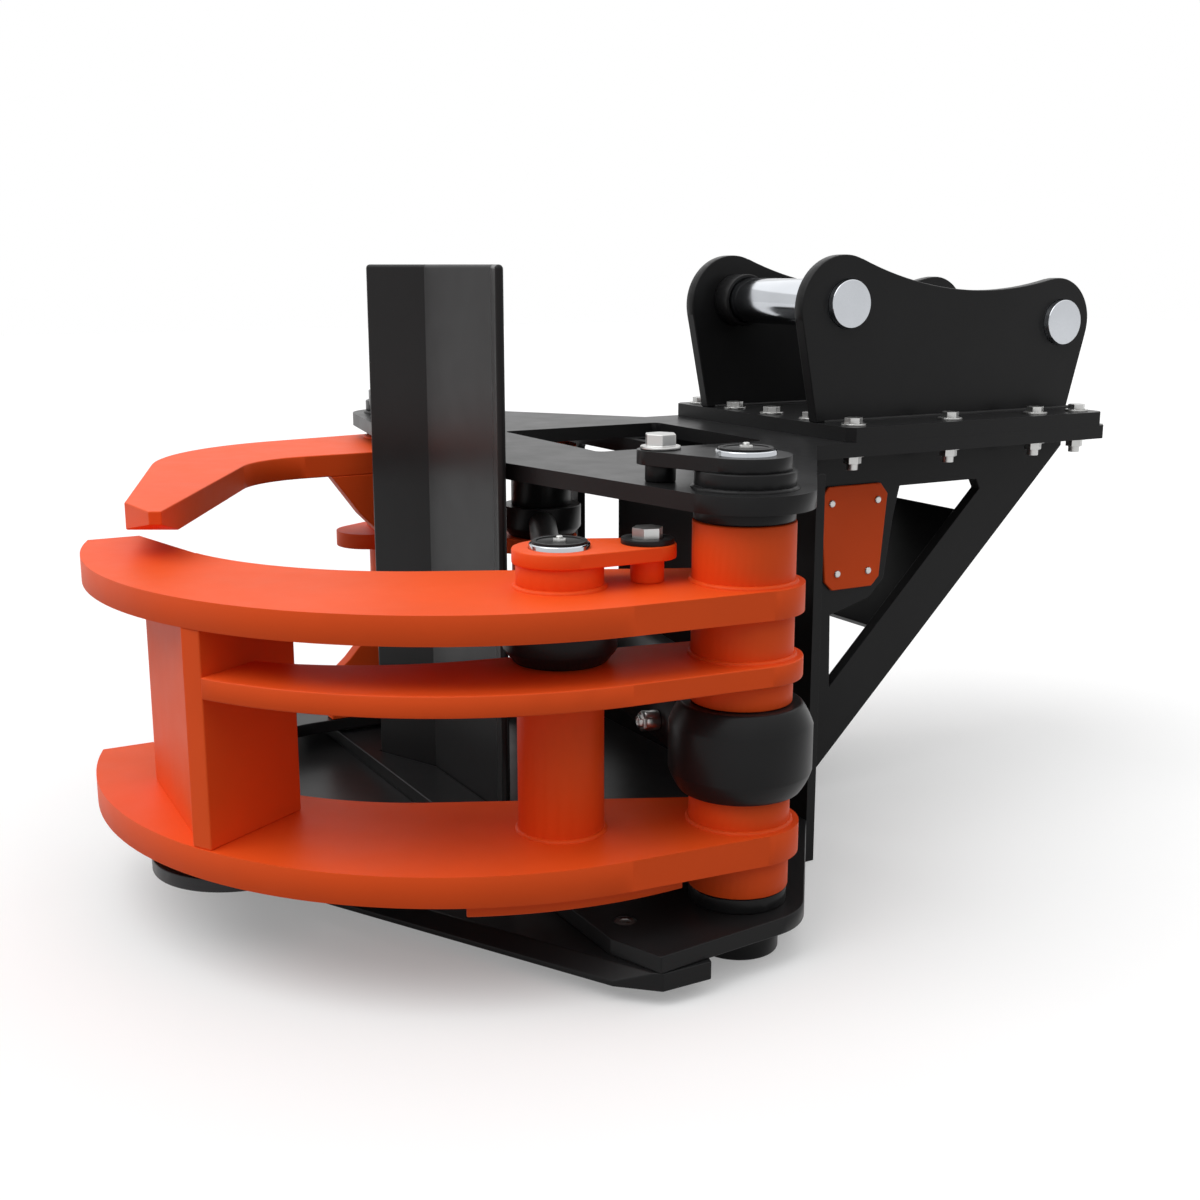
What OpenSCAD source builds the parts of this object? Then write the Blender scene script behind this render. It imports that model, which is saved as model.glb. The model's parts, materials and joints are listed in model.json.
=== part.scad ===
// Excavator tree shear: two crossing arms on a welded frame with a bolted pin hitch.
// Millimetres. X across the machine (near side positive), Y to the rear, Z up, ground at Z = 0.

/* [Frame levels] */
// Underside of the ground skid above the ground
skid_z = 13; // [8:1:20]
// Thickness of the ground skid plate
skid_t = 16; // [12:1:25]
// Thickness of the frame's top and bottom plates
plate_t = 15; // [10:1:20]
// Underside of the frame's top plate above the ground
top_z = 385; // [375:1:420]
// Thickness of the upright plates
upright_t = 10; // [8:1:16]

/* [Pivots] */
// Distance of each arm pivot from the middle
pivot_x = 370; // [350:1:390]
// Place of the arm pivots along the machine
pivot_y = -196; // [-206:1:-186]
// Diameter of the arm pivot pins
pivot_d = 50; // [40:1:56]
// Outer radius of the frame's lobes round the pivots
frame_lobe_r = 58; // [54:1:66]
// Outer radius of the frame's collars and bushes
collar_r = 42; // [38:1:46]
// Height of the collars on the top plate
collar_h = 15; // [10:1:20]
// Height of the bushes under the top plate
bush_top_h = 11; // [8:1:13]

/* [Near arm] */
// Radius of the arms' outer edge
arm_outer_r = 361; // [352:1:366]
// Radius of the arms' inner edge
arm_inner_r = 277; // [270:1:284]
// Radius of the arms' lobes round the pivots
arm_lobe_r = 51; // [48:1:56]
// Outer radius of the arms' pivot bosses
boss_r = 43; // [39:1:47]
// Thickness of the near arm's top plate
arm_top_t = 24; // [18:1:26]
// Thickness of the arms' middle plates
arm_mid_t = 18; // [14:1:20]
// Thickness of the near arm's bottom plate
arm_bot_t = 26; // [20:1:28]
// Underside of the near arm's top plate
near_top_z = 299; // [297:1:303]
// Underside of the middle plates
mid_z = 243; // [240:1:246]
// Underside of the near arm's bottom plate
near_bot_z = 90; // [88:1:94]
// Thickness of each knife
knife_t = 13; // [10:1:14]
// How far a knife stands into the mouth
knife_out = 24; // [15:1:35]

/* [Far arm] */
// Underside of the far arm's top plate below that of the frame's top plate
far_drop = 40; // [38:1:44]
// Thickness of the far arm's top plate
far_top_t = 25; // [20:1:26]
// Thickness of the far arm's bottom plate
far_bot_t = 14; // [10:1:15]
// Radius of the far arm's outer edge
far_outer_r = 220; // [212:1:226]
// Radius of the far arm's mouth
far_mouth_r = 97; // [90:1:100]

/* [Link and cylinder] */
// Near arm's link pin across the machine
link_nx = 318; // [312:1:324]
// Outer radius of the tubes round the link's pins
link_tube_r = 36; // [33:1:40]
// Near arm's link pin along the machine
link_ny = -340; // [-346:1:-334]
// Far arm's lever pin across the machine
lever_x = -215; // [-222:1:-208]
// Far arm's lever pin along the machine
lever_y = -82; // [-88:1:-80]
// Diameter of the link and lever pins
link_d = 50; // [44:1:52]
// Outer radius of the link's eyes
link_eye_r = 47; // [42:1:50]
// Diameter of the link's bar
link_bar_d = 32; // [26:1:34]
// Outer diameter of the cylinder barrel
barrel_d = 84; // [70:1:90]
// Diameter of the cylinder rod
rod_d = 40; // [32:1:48]
// Radius of the cylinder's base eye
ball_r = 61; // [54:1:64]

/* [Tree rest] */
// Height of the tree rest's top above the ground
rest_top = 577; // [520:1:620]
// Half width of the tree rest's middle face
rest_mid = 78; // [70:1:86]
// Length of each wing of the tree rest
rest_wing = 86; // [70:1:92]
// Angle at which the wings lean forward
rest_lean = 23; // [15:1:30]
// Place of the middle face along the machine
rest_y = -284; // [-288:1:-278]
// Thickness of the tree rest's plate
rest_t = 8; // [6:1:8]

/* [Hitch] */
// Half width of the bolted flange
flange_x = 167; // [160:1:175]
// Front edge of the bolted flange
flange_y0 = 74; // [68:1:80]
// Rear edge of the bolted flange
flange_y1 = 437; // [430:1:442]
// Diameter of the hitch pins
hitch_d = 50; // [40:1:56]
// Outer faces of the ears from the middle
ear_x = 110; // [104:1:118]
// Thickness of each ear
ear_t = 14; // [12:1:18]
// Front hitch pin along the machine
pin1_y = 110; // [106:1:114]
// Front hitch pin above the ground
pin1_z = 537; // [532:1:542]
// Rear hitch pin along the machine
pin2_y = 416; // [412:1:420]
// Rear hitch pin above the ground
pin2_z = 513; // [508:1:518]
// Spacing of the flange bolts across the machine
bolt_step = 72; // [64:1:73]
// Size of the flange bolts
bolt_d = 12; // [10:1:14]

/* [Clearances] */
// Radial running clearance of a pin in its bore
run_gap = 0.05; // [0.03:0.01:0.1]
// Gap between faces that slide past each other
face_gap = 0.5; // [0.3:0.1:0.8]
// Radial room in the two eyes where the linkage is opened
open_gap = 4.6; // [4:0.1:6]

/* [Hidden] */
$fn = 96;
bottom_z = skid_z + skid_t;
bottom_top = bottom_z + plate_t;
plate_top = top_z + plate_t;
flange_top = plate_top + plate_t;
far_bot_z = bottom_top + 5;
far_top_z = top_z - far_drop;
far_top_top = far_top_z + far_top_t;
bush_z = top_z - bush_top_h - face_gap;
far_bot_top = far_bot_z + far_bot_t;
far_knife_z = far_bot_top;
near_knife_z = near_bot_z - knife_t;
near_top_top = near_top_z + arm_top_t;
mid_top = mid_z + arm_mid_t;
near_bot_top = near_bot_z + arm_bot_t;
pin_r = pivot_d / 2;
hole_r = pin_r + run_gap;
// Outermost side and foremost point of the near arm's outer edge
arm_side_x = 412;
arm_front_y = -657;
arc_cx = arm_side_x - arm_outer_r;
arc_cy = arm_front_y + arm_outer_r;
in_cx = -40;
in_cy = -290;
eye_z = (mid_top + near_top_z) / 2;
eye_h = near_top_z - mid_top - 2 * face_gap;
cyl_z = 182;
cyl_eye_h = 77;
cyl_dx = lever_x - pivot_x;
cyl_dy = lever_y - pivot_y;
cyl_len = sqrt(cyl_dx * cyl_dx + cyl_dy * cyl_dy);
cyl_ang = atan2(cyl_dy, cyl_dx);
link_dx = link_nx - lever_x;
link_dy = link_ny - lever_y;
link_len = sqrt(link_dx * link_dx + link_dy * link_dy);
link_ang = atan2(link_dy, link_dx);
orange = [0.93, 0.27, 0.08];
black = [0.09, 0.09, 0.1];
chrome = [0.82, 0.83, 0.85];
zinc = [0.62, 0.63, 0.65];

// Bearing of a tangent point on a circle, seen from its centre.
function tangent_a(p, c, r, s) =
  atan2(p[1] - c[1], p[0] - c[0]) + s * acos(r / norm(p - c));

// Tangent point on a circle for the line from point p.
function tangent_p(p, c, r, s) =
  c + r * [cos(tangent_a(p, c, r, s)), sin(tangent_a(p, c, r, s))];

function on_circle(c, r, a) = c + r * [cos(a), sin(a)];

// Two round ends joined by their outer tangents.
module strap(a, ra, b, rb) {
  ang = atan2(b[1] - a[1], b[0] - a[0]);
  g = acos((ra - rb) / norm(b - a));
  translate(a) circle(r = ra);
  translate(b) circle(r = rb);
  polygon([on_circle(a, ra, ang + g), on_circle(a, ra, ang - g),
    on_circle(b, rb, ang - g), on_circle(b, rb, ang + g)]);
}

// Both halves of an outline drawn on the near side of the middle.
module both_halves() {
  children();
  mirror([1, 0]) children();
}

module rounded_box(w, d, r) {
  translate([-w / 2 + r, -d / 2]) square([w - 2 * r, d]);
  translate([-w / 2, -d / 2 + r]) square([w, d - 2 * r]);
  for (s = [-1, 1], t = [-1, 1]) {
    translate([s * (w / 2 - r), t * (d / 2 - r)]) circle(r = r);
  }
}

module at_pivots() {
  for (s = [-1, 1]) {
    translate([s * pivot_x, pivot_y, 0]) children();
  }
}

module ring(r_out, r_in, z0, h) {
  translate([0, 0, z0]) difference() {
    cylinder(r = r_out, h = h);
    translate([0, 0, -1]) cylinder(r = r_in, h = h + 2);
  }
}

back_y = -33;
back_x = 253;

// Outline of the frame's top plate on the near side of the middle.
pivot = [pivot_x, pivot_y];
shoulder = [flange_x, 32];
tail_y = flange_y1 + 8;
rest_bend = [rest_mid + rest_t * tan(rest_lean / 2), rest_y + rest_t];
rest_hold = rest_bend + 60 * [cos(rest_lean), -sin(rest_lean)];
module half_top() {
  translate(pivot) circle(r = frame_lobe_r);
  polygon([[0, rest_bend[1]], rest_bend, rest_hold,
    tangent_p(rest_hold, pivot, frame_lobe_r, 1), pivot,
    tangent_p(shoulder, pivot, frame_lobe_r, -1), shoulder,
    [flange_x, tail_y - 10], [flange_x - 10, tail_y], [0, tail_y]]);
}

window_w = 210;
window_d = 195;
module top_window() {
  translate([0, -86]) rounded_box(window_w, window_d, 8);
}

bolt_y0 = flange_y0 + 22;
bolt_y1 = flange_y1 - 22;
bolt_rows = [0, 0.41, 0.8, 1];
module at_bolts() {
  for (i = [-2 : 2]) {
    translate([i * bolt_step, bolt_y0, 0]) children();
  }
  for (s = [-2, 2], k = [1 : 3]) {
    translate([s * bolt_step, bolt_y0 + (bolt_y1 - bolt_y0) * bolt_rows[k], 0]) children();
  }
}

module bolt_holes(z0, h) {
  at_bolts() translate([0, 0, z0]) cylinder(r = bolt_d / 2 + 0.5, h = h, $fn = 32);
}

module top_plate() color(black) {
  difference() {
    translate([0, 0, top_z]) linear_extrude(plate_t) both_halves() half_top();
    translate([0, 0, top_z - 1]) linear_extrude(plate_t + 2) top_window();
    at_pivots() translate([0, 0, top_z - 1]) cylinder(r = hole_r, h = plate_t + 2);
    bolt_holes(top_z - 1, plate_t + 2);
  }
}

// Outline of the frame's bottom plate on the near side of the middle.
foot_corner = [440, -316];
foot_heel = [back_x, back_y];
foot_bolt = [366, -306];
module half_bottom() {
  translate(pivot) circle(r = frame_lobe_r);
  polygon([[0, -334], [391, -334], foot_corner,
    tangent_p(foot_corner, pivot, frame_lobe_r, 1), pivot,
    tangent_p(foot_heel, pivot, frame_lobe_r, -1), foot_heel, [0, back_y]]);
}

module bottom_plate() color(black) {
  difference() {
    translate([0, 0, bottom_z]) linear_extrude(plate_t) both_halves() half_bottom();
    at_pivots() translate([0, 0, bottom_z - 1]) cylinder(r = hole_r, h = plate_t + 2);
    translate([0, 0, bottom_z - 1]) linear_extrude(plate_t + 2) rest_outline(0.4);
    at_foot_bolts() translate([0, 0, bottom_z - 1]) cylinder(r = 9, h = plate_t + 2);
  }
}

module at_foot_bolts() {
  for (s = [-1, 1]) {
    translate([s * foot_bolt[0], foot_bolt[1], 0]) children();
  }
}

module foot_bolts() color(zinc) at_foot_bolts() translate([0, 0, bottom_z]) difference() {
  cylinder(r = 8.9, h = plate_t - 1);
  translate([0, 0, plate_t - 7]) cylinder(r = 5, h = 8, $fn = 6);
}

// Ground skid with a bevelled nose edge.
skid_nose = [0, -560];
skid_side = [150, -487];
skid_corner = [412, -344];
module half_skid() {
  polygon([skid_nose, skid_side, skid_corner, [440, -314], [440, -268], [320, -230], [0, -230]]);
}

bevel_over = 40;
bevel_cut = 8;
module skid_bevel(a, b) {
  translate([a[0], a[1], skid_z + skid_t]) rotate([0, 0, atan2(b[1] - a[1], b[0] - a[0])]) rotate([45, 0, 0])
    translate([-bevel_over, -bevel_cut, -bevel_cut])
      cube([norm(b - a) + 2 * bevel_over, 2 * bevel_cut, 2 * bevel_cut]);
}

module skid_plate() color(black) {
  difference() {
    translate([0, 0, skid_z]) linear_extrude(skid_t) both_halves() half_skid();
    for (s = [0, 1]) mirror([s, 0, 0]) {
      skid_bevel(skid_nose, skid_side);
      skid_bevel(skid_side, skid_corner);
    }
    translate([0, 0, skid_z - 1]) linear_extrude(skid_t + 2) rest_outline(0.4);
  }
}

// Heel plate between the gussets' feet, on the ground.
heel_y = 52;
heel_t = 12;
module heel_plate() color(black) {
  translate([-brace_in, back_y + upright_t, 0]) cube([2 * brace_in, heel_y - back_y - upright_t, heel_t]);
}

back_hole_z = 120;
module back_plate() color(black) {
  translate([0, back_y + upright_t, 0]) rotate([90, 0, 0]) linear_extrude(upright_t) difference() {
    translate([-back_x, 0]) square([2 * back_x, top_z]);
    for (s = [-1, 1]) {
      translate([s * (ear_x + 55), back_hole_z + 124]) rounded_box(98, 248, 8);
    }
  }
}

// Web that carries the hitch, with an open window along its diagonal.
crest_y = 126;
crest_w = 90;
crest_z0 = 234;
crest_z1 = 347;
web_edge = crest_y + crest_w / 2;
module gusset_face() {
  difference() {
    polygon([[back_y + upright_t, 0], [heel_y, 0], [70, 16], [431, 372], [431, top_z], [back_y + upright_t, top_z]]);
    polygon([[103, 126], [101, 206], [web_edge - 18, crest_z0 - 14], [web_edge + 2, crest_z0 + 6],
      [web_edge + 12, crest_z1 - 40], [web_edge + 20, 341], [301, 341], [307, 330]]);
  }
}

module gusset(s) {
  translate([s * ear_x - (s > 0 ? ear_t : 0), 0, 0]) rotate([90, 0, 90]) linear_extrude(ear_t) gusset_face();
}

module gusset_right() color(black) gusset(1);
module gusset_left() color(black) gusset(-1);

brace_in = ear_x - ear_t;
brace_y = 182;
brace_z = 179;
brace_rise = 123;
brace_step = 7;
module brace_plate() color(black) {
  translate([-brace_in, 0, 0]) rotate([90, 0, 90]) linear_extrude(2 * brace_in)
    polygon([[brace_y, brace_z], [brace_y + brace_step, brace_z - brace_step],
      [brace_y + brace_rise + brace_step, brace_z + brace_rise - brace_step],
      [brace_y + brace_rise, brace_z + brace_rise]]);
}

// Bent tree rest: a middle face with two wings that lean forward.
module rest_outline(g) {
  wx = rest_mid + rest_wing * cos(rest_lean);
  wy = rest_y - rest_wing * sin(rest_lean);
  nx = rest_t * sin(rest_lean);
  ny = rest_t * cos(rest_lean);
  bx = rest_t * tan(rest_lean / 2);
  polygon([[-wx - g, wy - g], [-rest_mid, rest_y - g], [rest_mid, rest_y - g], [wx + g, wy - g],
    [wx + nx + g, wy + ny + g], [rest_mid + bx, rest_y + rest_t + g],
    [-rest_mid - bx, rest_y + rest_t + g], [-wx - nx - g, wy + ny + g]]);
}

module tree_rest() color(black) {
  translate([0, 0, skid_z]) linear_extrude(rest_top - skid_z) rest_outline(0);
}

module top_collars() color(black) at_pivots() ring(collar_r, hole_r, plate_top, collar_h);
module foot_collars() color(black) at_pivots() ring(36, hole_r, 0, bottom_z);
module top_bushes() color(black) at_pivots() ring(collar_r, hole_r, top_z - bush_top_h, bush_top_h);

module foot_bushes() color(black) {
  translate([pivot_x, pivot_y, 0]) ring(collar_r, hole_r, bottom_top, near_bot_z - 32 - face_gap - bottom_top);
  translate([-pivot_x, pivot_y, 0]) ring(collar_r, hole_r, bottom_top, far_bot_z - face_gap - bottom_top);
}

// Bolted hitch.
module hitch_flange() color(black) {
  difference() {
    translate([0, 0, plate_top]) linear_extrude(plate_t) polygon([
      [-flange_x, flange_y0 + 8], [-flange_x + 8, flange_y0], [flange_x - 8, flange_y0],
      [flange_x, flange_y0 + 8], [flange_x, flange_y1 - 8], [flange_x - 8, flange_y1],
      [-flange_x + 8, flange_y1], [-flange_x, flange_y1 - 8]]);
    bolt_holes(plate_top - 1, plate_t + 2);
  }
}

lobe1 = [pin1_y - 3, pin1_z - 5];
lobe2 = [pin2_y - 4, pin2_z + 1];
lobe1_r = 55;
lobe2_r = 48;
dip_r = 450;
lobe_span = norm(lobe2 - lobe1);
lobe_dir = (lobe2 - lobe1) / lobe_span;
dip_along = (pow(dip_r + lobe1_r, 2) - pow(dip_r + lobe2_r, 2) + lobe_span * lobe_span) / (2 * lobe_span);
dip_up = sqrt(pow(dip_r + lobe1_r, 2) - dip_along * dip_along);
dip_c = lobe1 + dip_along * lobe_dir + dip_up * [-lobe_dir[1], lobe_dir[0]];
module ear_face() {
  base0 = [flange_y0 + 1, flange_top];
  base1 = [flange_y1 - 3, flange_top];
  translate(lobe1) circle(r = lobe1_r);
  translate(lobe2) circle(r = lobe2_r);
  difference() {
    polygon([base0, base1, tangent_p(base1, lobe2, lobe2_r, 1), lobe2,
      lobe2 + lobe2_r * (dip_c - lobe2) / norm(dip_c - lobe2),
      lobe1 + lobe1_r * (dip_c - lobe1) / norm(dip_c - lobe1),
      lobe1, tangent_p(base0, lobe1, lobe1_r, -1)]);
    translate(dip_c) circle(r = dip_r - 0.3, $fn = 360);
  }
}

module ear(s) {
  translate([s * ear_x - (s > 0 ? ear_t : 0), 0, 0]) difference() {
    rotate([90, 0, 90]) linear_extrude(ear_t) ear_face();
    translate([-1, pin1_y, pin1_z]) rotate([0, 90, 0]) cylinder(r = hitch_d / 2 + run_gap, h = ear_t + 2);
    translate([-1, pin2_y, pin2_z]) rotate([0, 90, 0]) cylinder(r = hitch_d / 2 + run_gap, h = ear_t + 2);
  }
}

module ear_right() color(black) ear(1);
module ear_left() color(black) ear(-1);

pin_out = 8;
module hitch_pin(y, z) {
  translate([-ear_x - pin_out, y, z]) rotate([0, 90, 0]) cylinder(r = hitch_d / 2, h = 2 * (ear_x + pin_out));
}

module hitch_pin_front() color(chrome) hitch_pin(pin1_y, pin1_z);
module hitch_pin_rear() color(chrome) hitch_pin(pin2_y, pin2_z);

ear_boss_t = 26;
module ear_bosses() color(black) {
  for (s = [-1, 1], p = [[pin1_y, pin1_z], [pin2_y, pin2_z]]) {
    translate([s > 0 ? brace_in - ear_boss_t : -brace_in, p[0], p[1]]) rotate([0, 90, 0]) difference() {
      cylinder(r = hitch_d / 2 + 4, h = ear_boss_t);
      translate([0, 0, -1]) cylinder(r = hitch_d / 2 + run_gap, h = ear_boss_t + 2);
    }
  }
}

head_h = bolt_d * 0.65;
head_r = bolt_d * 0.79;
module flange_bolts() color(zinc) at_bolts() {
  translate([0, 0, flange_top]) cylinder(r = head_r, h = head_h, $fn = 6);
  translate([0, 0, top_z - bolt_d * 1.35]) cylinder(r = bolt_d / 2, h = flange_top - top_z + bolt_d * 1.35 + 0.1, $fn = 32);
}

module flange_nuts() color(zinc) at_bolts() {
  translate([0, 0, top_z - bolt_d * 0.8]) difference() {
    cylinder(r = head_r, h = bolt_d * 0.8, $fn = 6);
    translate([0, 0, -1]) cylinder(r = bolt_d / 2 + 0.02, h = bolt_d, $fn = 32);
  }
}

// Arm pivot pins, each held by a keeper plate on a spacer.
keeper_t = 12;
keeper_z = plate_top + collar_h;
pin_head = keeper_z + keeper_t + 4;
keeper_len = 76;
keeper_a = 214;
module pivot_pin() {
  difference() {
    translate([0, 0, 2]) cylinder(r = pin_r, h = pin_head - 2);
    translate([0, 0, pin_head - 5]) cylinder(r = pin_r - 7, h = 6);
  }
  translate([0, 0, pin_head - 6]) cylinder(r = 5, h = 9, $fn = 32);
}

module pivot_pin_right() color(chrome) translate([pivot_x, pivot_y, 0]) pivot_pin();
module pivot_pin_left() color(chrome) translate([-pivot_x, pivot_y, 0]) pivot_pin();

module teardrop(r1, r2, len, bore, hole) {
  difference() {
    strap([0, 0], r1, [len, 0], r2);
    circle(r = bore);
    translate([len, 0]) circle(r = hole);
  }
}

module both_keepers() {
  translate([pivot_x, pivot_y, 0]) rotate([0, 0, keeper_a]) children();
  translate([-pivot_x, pivot_y, 0]) rotate([0, 0, 180 - keeper_a]) children();
}

module pivot_keepers() color(black) both_keepers()
  translate([0, 0, keeper_z]) linear_extrude(keeper_t) teardrop(38, 20, keeper_len, hole_r, 8.5);

module keeper_spacers() color(black) both_keepers() translate([keeper_len, 0, 0])
  ring(13, 8.5, plate_top, collar_h);

module keeper_bolts() color(zinc) both_keepers() translate([keeper_len, 0, 0]) {
  translate([0, 0, plate_top]) cylinder(r = 8, h = collar_h + keeper_t + 3);
  ring(17, 7.9, keeper_z + keeper_t, 3);
  translate([0, 0, keeper_z + keeper_t + 3]) cylinder(r = 14, h = 10, $fn = 6);
}

// Plain plate on the near gusset.
module crest_plate() color(orange) {
  translate([ear_x, 0, 0]) rotate([90, 0, 90]) linear_extrude(4) polygon([
    [crest_y - crest_w / 2, crest_z1 - 12], [crest_y - crest_w / 2 + 10, crest_z1],
    [crest_y + crest_w / 2 - 10, crest_z1], [crest_y + crest_w / 2, crest_z1 - 12],
    [crest_y + crest_w / 2 - 8, crest_z0 + 10], [crest_y + crest_w / 2 - 18, crest_z0],
    [crest_y - crest_w / 2 + 18, crest_z0], [crest_y - crest_w / 2 + 8, crest_z0 + 10]]);
}

rivet_inset = 14;
module crest_rivets() color(zinc) {
  for (s = [-1, 1], z = [crest_z0 + 18, crest_z1 - 18]) {
    translate([ear_x + 4, crest_y + s * (crest_w / 2 - (z < 300 ? 24 : rivet_inset)), z]) rotate([0, 90, 0])
      cylinder(r1 = 4.5, r2 = 3, h = 2.5);
  }
}

// Near arm, drawn in place: a ring sector joined to a round lobe by tangents.
arm_c = [arc_cx, arc_cy];
in_c = [in_cx, in_cy];
lobe_bearing = atan2(pivot_y - arc_cy, pivot_x - arc_cx);
out_a = lobe_bearing - acos((arm_outer_r - arm_lobe_r) / norm(pivot - arm_c));
tip_x = -86;

function in_a(c, r) =
  atan2(pivot_y - c[1], pivot_x - c[0]) - acos((r + arm_lobe_r) / norm(pivot - c));

module arm_shape(c, r) {
  a = in_a(c, r);
  translate(pivot) circle(r = arm_lobe_r);
  difference() {
    union() {
      polygon([on_circle(c, r, a), on_circle(arm_c, arm_outer_r, out_a),
        on_circle(pivot, arm_lobe_r, out_a), pivot, on_circle(pivot, arm_lobe_r, a + 180)]);
      intersection() {
        translate(arm_c) circle(r = arm_outer_r, $fn = 240);
        polygon([on_circle(c, r, a), on_circle(c, r, -96), [-200, -520], [-200, -700],
          [500, -700], [500, -500], on_circle(arm_c, arm_outer_r, out_a)]);
      }
    }
    translate(c) circle(r = r, $fn = 200);
  }
}

module near_arm_face() {
  difference() {
    arm_shape(in_c, arm_inner_r);
    polygon([[-300, -750], [tip_x + 22, -750], [tip_x + 29, -641], [tip_x, -630], [tip_x, -582],
      [30, -559], [30, -400], [-300, -400]]);
  }
}

mid_c = [5, -352];
mid_in_r = 282;
web_in = [170.6, -516];
web_out = [226.5, -610];
near_web_t = 20;
web_tip_x = 27;
web_tip_y = -606;
web_a = atan2(web_out[1] - web_in[1], web_out[0] - web_in[0]);
web_along = [cos(web_a), sin(web_a)];
web_side = [cos(web_a + 90), sin(web_a + 90)];
module near_mid_face() {
  difference() {
    arm_shape(mid_c, mid_in_r);
    polygon([[-240, -900], [-240, -300], web_in - 150 * web_along, web_in + 300 * web_along,
      [web_in[0] + 300 * web_along[0], -900]]);
  }
  translate([link_nx, link_ny]) circle(r = link_tube_r + 4);
}

module pivot_hole(z0, h) {
  translate([pivot_x, pivot_y, z0 - 1]) cylinder(r = hole_r, h = h + 2);
}

module link_hole(z0, h) {
  translate([link_nx, link_ny, z0 - 1]) cylinder(r = link_d / 2 + run_gap, h = h + 2);
}

module near_plate(z0, h) {
  difference() {
    translate([0, 0, z0]) linear_extrude(h) children();
    pivot_hole(z0, h);
    link_hole(z0, h);
  }
}

module near_top_plate() color(orange) near_plate(near_top_z, arm_top_t) near_arm_face();
module near_mid_plate() color(orange) near_plate(mid_z, arm_mid_t) near_mid_face();
module near_bottom_plate() color(orange) near_plate(near_bot_z, arm_bot_t) near_arm_face();

web_t = 18;
module near_web_outer() color(orange) {
  translate([web_in[0], web_in[1], near_bot_top]) rotate([0, 0, web_a]) translate([0, -near_web_t, 0])
    cube([norm(web_out - web_in), near_web_t, near_top_z - near_bot_top]);
}

module near_web_tip() color(orange) {
  face = web_in - near_web_t * web_side;
  back = face + web_along * (web_tip_y - 8 + web_t - face[1]) / web_along[1];
  front = face + web_along * (web_tip_y - 8 - face[1]) / web_along[1];
  translate([0, 0, near_bot_top]) linear_extrude(near_top_z - near_bot_top)
    polygon([[web_tip_x, web_tip_y], front, back, [web_tip_x, web_tip_y + web_t]]);
}

near_boss_low = near_bot_z - 32;
module near_bosses() color(orange) translate([pivot_x, pivot_y, 0]) {
  ring(boss_r, hole_r, near_top_top, bush_z - near_top_top);
  ring(boss_r, hole_r, mid_top, near_top_z - mid_top);
  ring(boss_r, hole_r, cyl_z + cyl_eye_h / 2 + face_gap, mid_z - cyl_z - cyl_eye_h / 2 - face_gap);
  ring(boss_r, hole_r, near_bot_top, cyl_z - cyl_eye_h / 2 - face_gap - near_bot_top);
  ring(boss_r, hole_r, near_boss_low, near_bot_z - near_boss_low);
}

module near_pin_tube() color(orange) translate([link_nx, link_ny, 0]) {
  ring(link_tube_r, link_d / 2 + run_gap, near_bot_top, mid_z - near_bot_top);
  ring(link_tube_r, link_d / 2 + run_gap, near_top_top, 20);
  rotate([0, 0, link_keep_a]) translate([link_keep, 0, 0]) ring(14, 7, near_top_top, 20);
}

link_keep = 74;
link_keep_a = atan2(pivot_y - link_ny, pivot_x - link_nx) + 6;
near_keep_z = near_top_top + 20;
module near_keeper() color(orange) translate([link_nx, link_ny, near_keep_z]) rotate([0, 0, link_keep_a])
  linear_extrude(keeper_t) teardrop(39, 24, link_keep, link_d / 2 + run_gap, 7);

module near_keeper_bolt() color(zinc) translate([link_nx, link_ny, 0]) rotate([0, 0, link_keep_a])
  translate([link_keep, 0, 0]) {
    translate([0, 0, near_top_top]) cylinder(r = 6.8, h = 20 + keeper_t + 3);
    ring(17, 6.7, near_keep_z + keeper_t, 3);
    translate([0, 0, near_keep_z + keeper_t + 3]) cylinder(r = 13, h = 10, $fn = 6);
  }

module near_link_pin() color(chrome) translate([link_nx, link_ny, 0]) {
  difference() {
    translate([0, 0, near_bot_z]) cylinder(r = link_d / 2, h = near_keep_z + keeper_t + 4 - near_bot_z);
    translate([0, 0, near_keep_z + keeper_t]) cylinder(r = link_d / 2 - 6, h = 6);
  }
  translate([0, 0, near_keep_z + keeper_t - 1]) cylinder(r = 5, h = 8, $fn = 32);
}

// Knives: flat crescents with a bevelled inner edge.
module knife_face() {
  intersection() {
    difference() {
      translate(in_c) circle(r = arm_inner_r + 55, $fn = 200);
      translate(in_c) circle(r = arm_inner_r - knife_out, $fn = 200);
    }
    polygon([in_c, in_c + 520 * [cos(-30), sin(-30)], in_c + 520 * [cos(-62), sin(-62)],
      in_c + 420 * [cos(-94), sin(-94)]]);
  }
}

module near_knife() color([0.13, 0.13, 0.14]) difference() {
  translate([0, 0, near_knife_z]) linear_extrude(knife_t) knife_face();
  translate([in_cx, in_cy, near_knife_z + 3]) cylinder(r1 = arm_inner_r - knife_out, r2 = arm_inner_r - knife_out + 16, h = knife_t);
}

pad_gap = 6;
module near_knife_pad() color(orange) {
  translate([0, 0, near_knife_z + 1]) linear_extrude(knife_t - 1) intersection() {
    difference() {
      translate(arm_c) circle(r = arm_outer_r - 10, $fn = 240);
      translate(arm_c) circle(r = arm_outer_r - 62, $fn = 240);
    }
    difference() {
      polygon([arm_c, arm_c + 500 * [cos(-26), sin(-26)], arm_c + 500 * [cos(4), sin(4)]]);
      translate(pivot) circle(r = boss_r + pad_gap);
    }
  }
}

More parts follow.
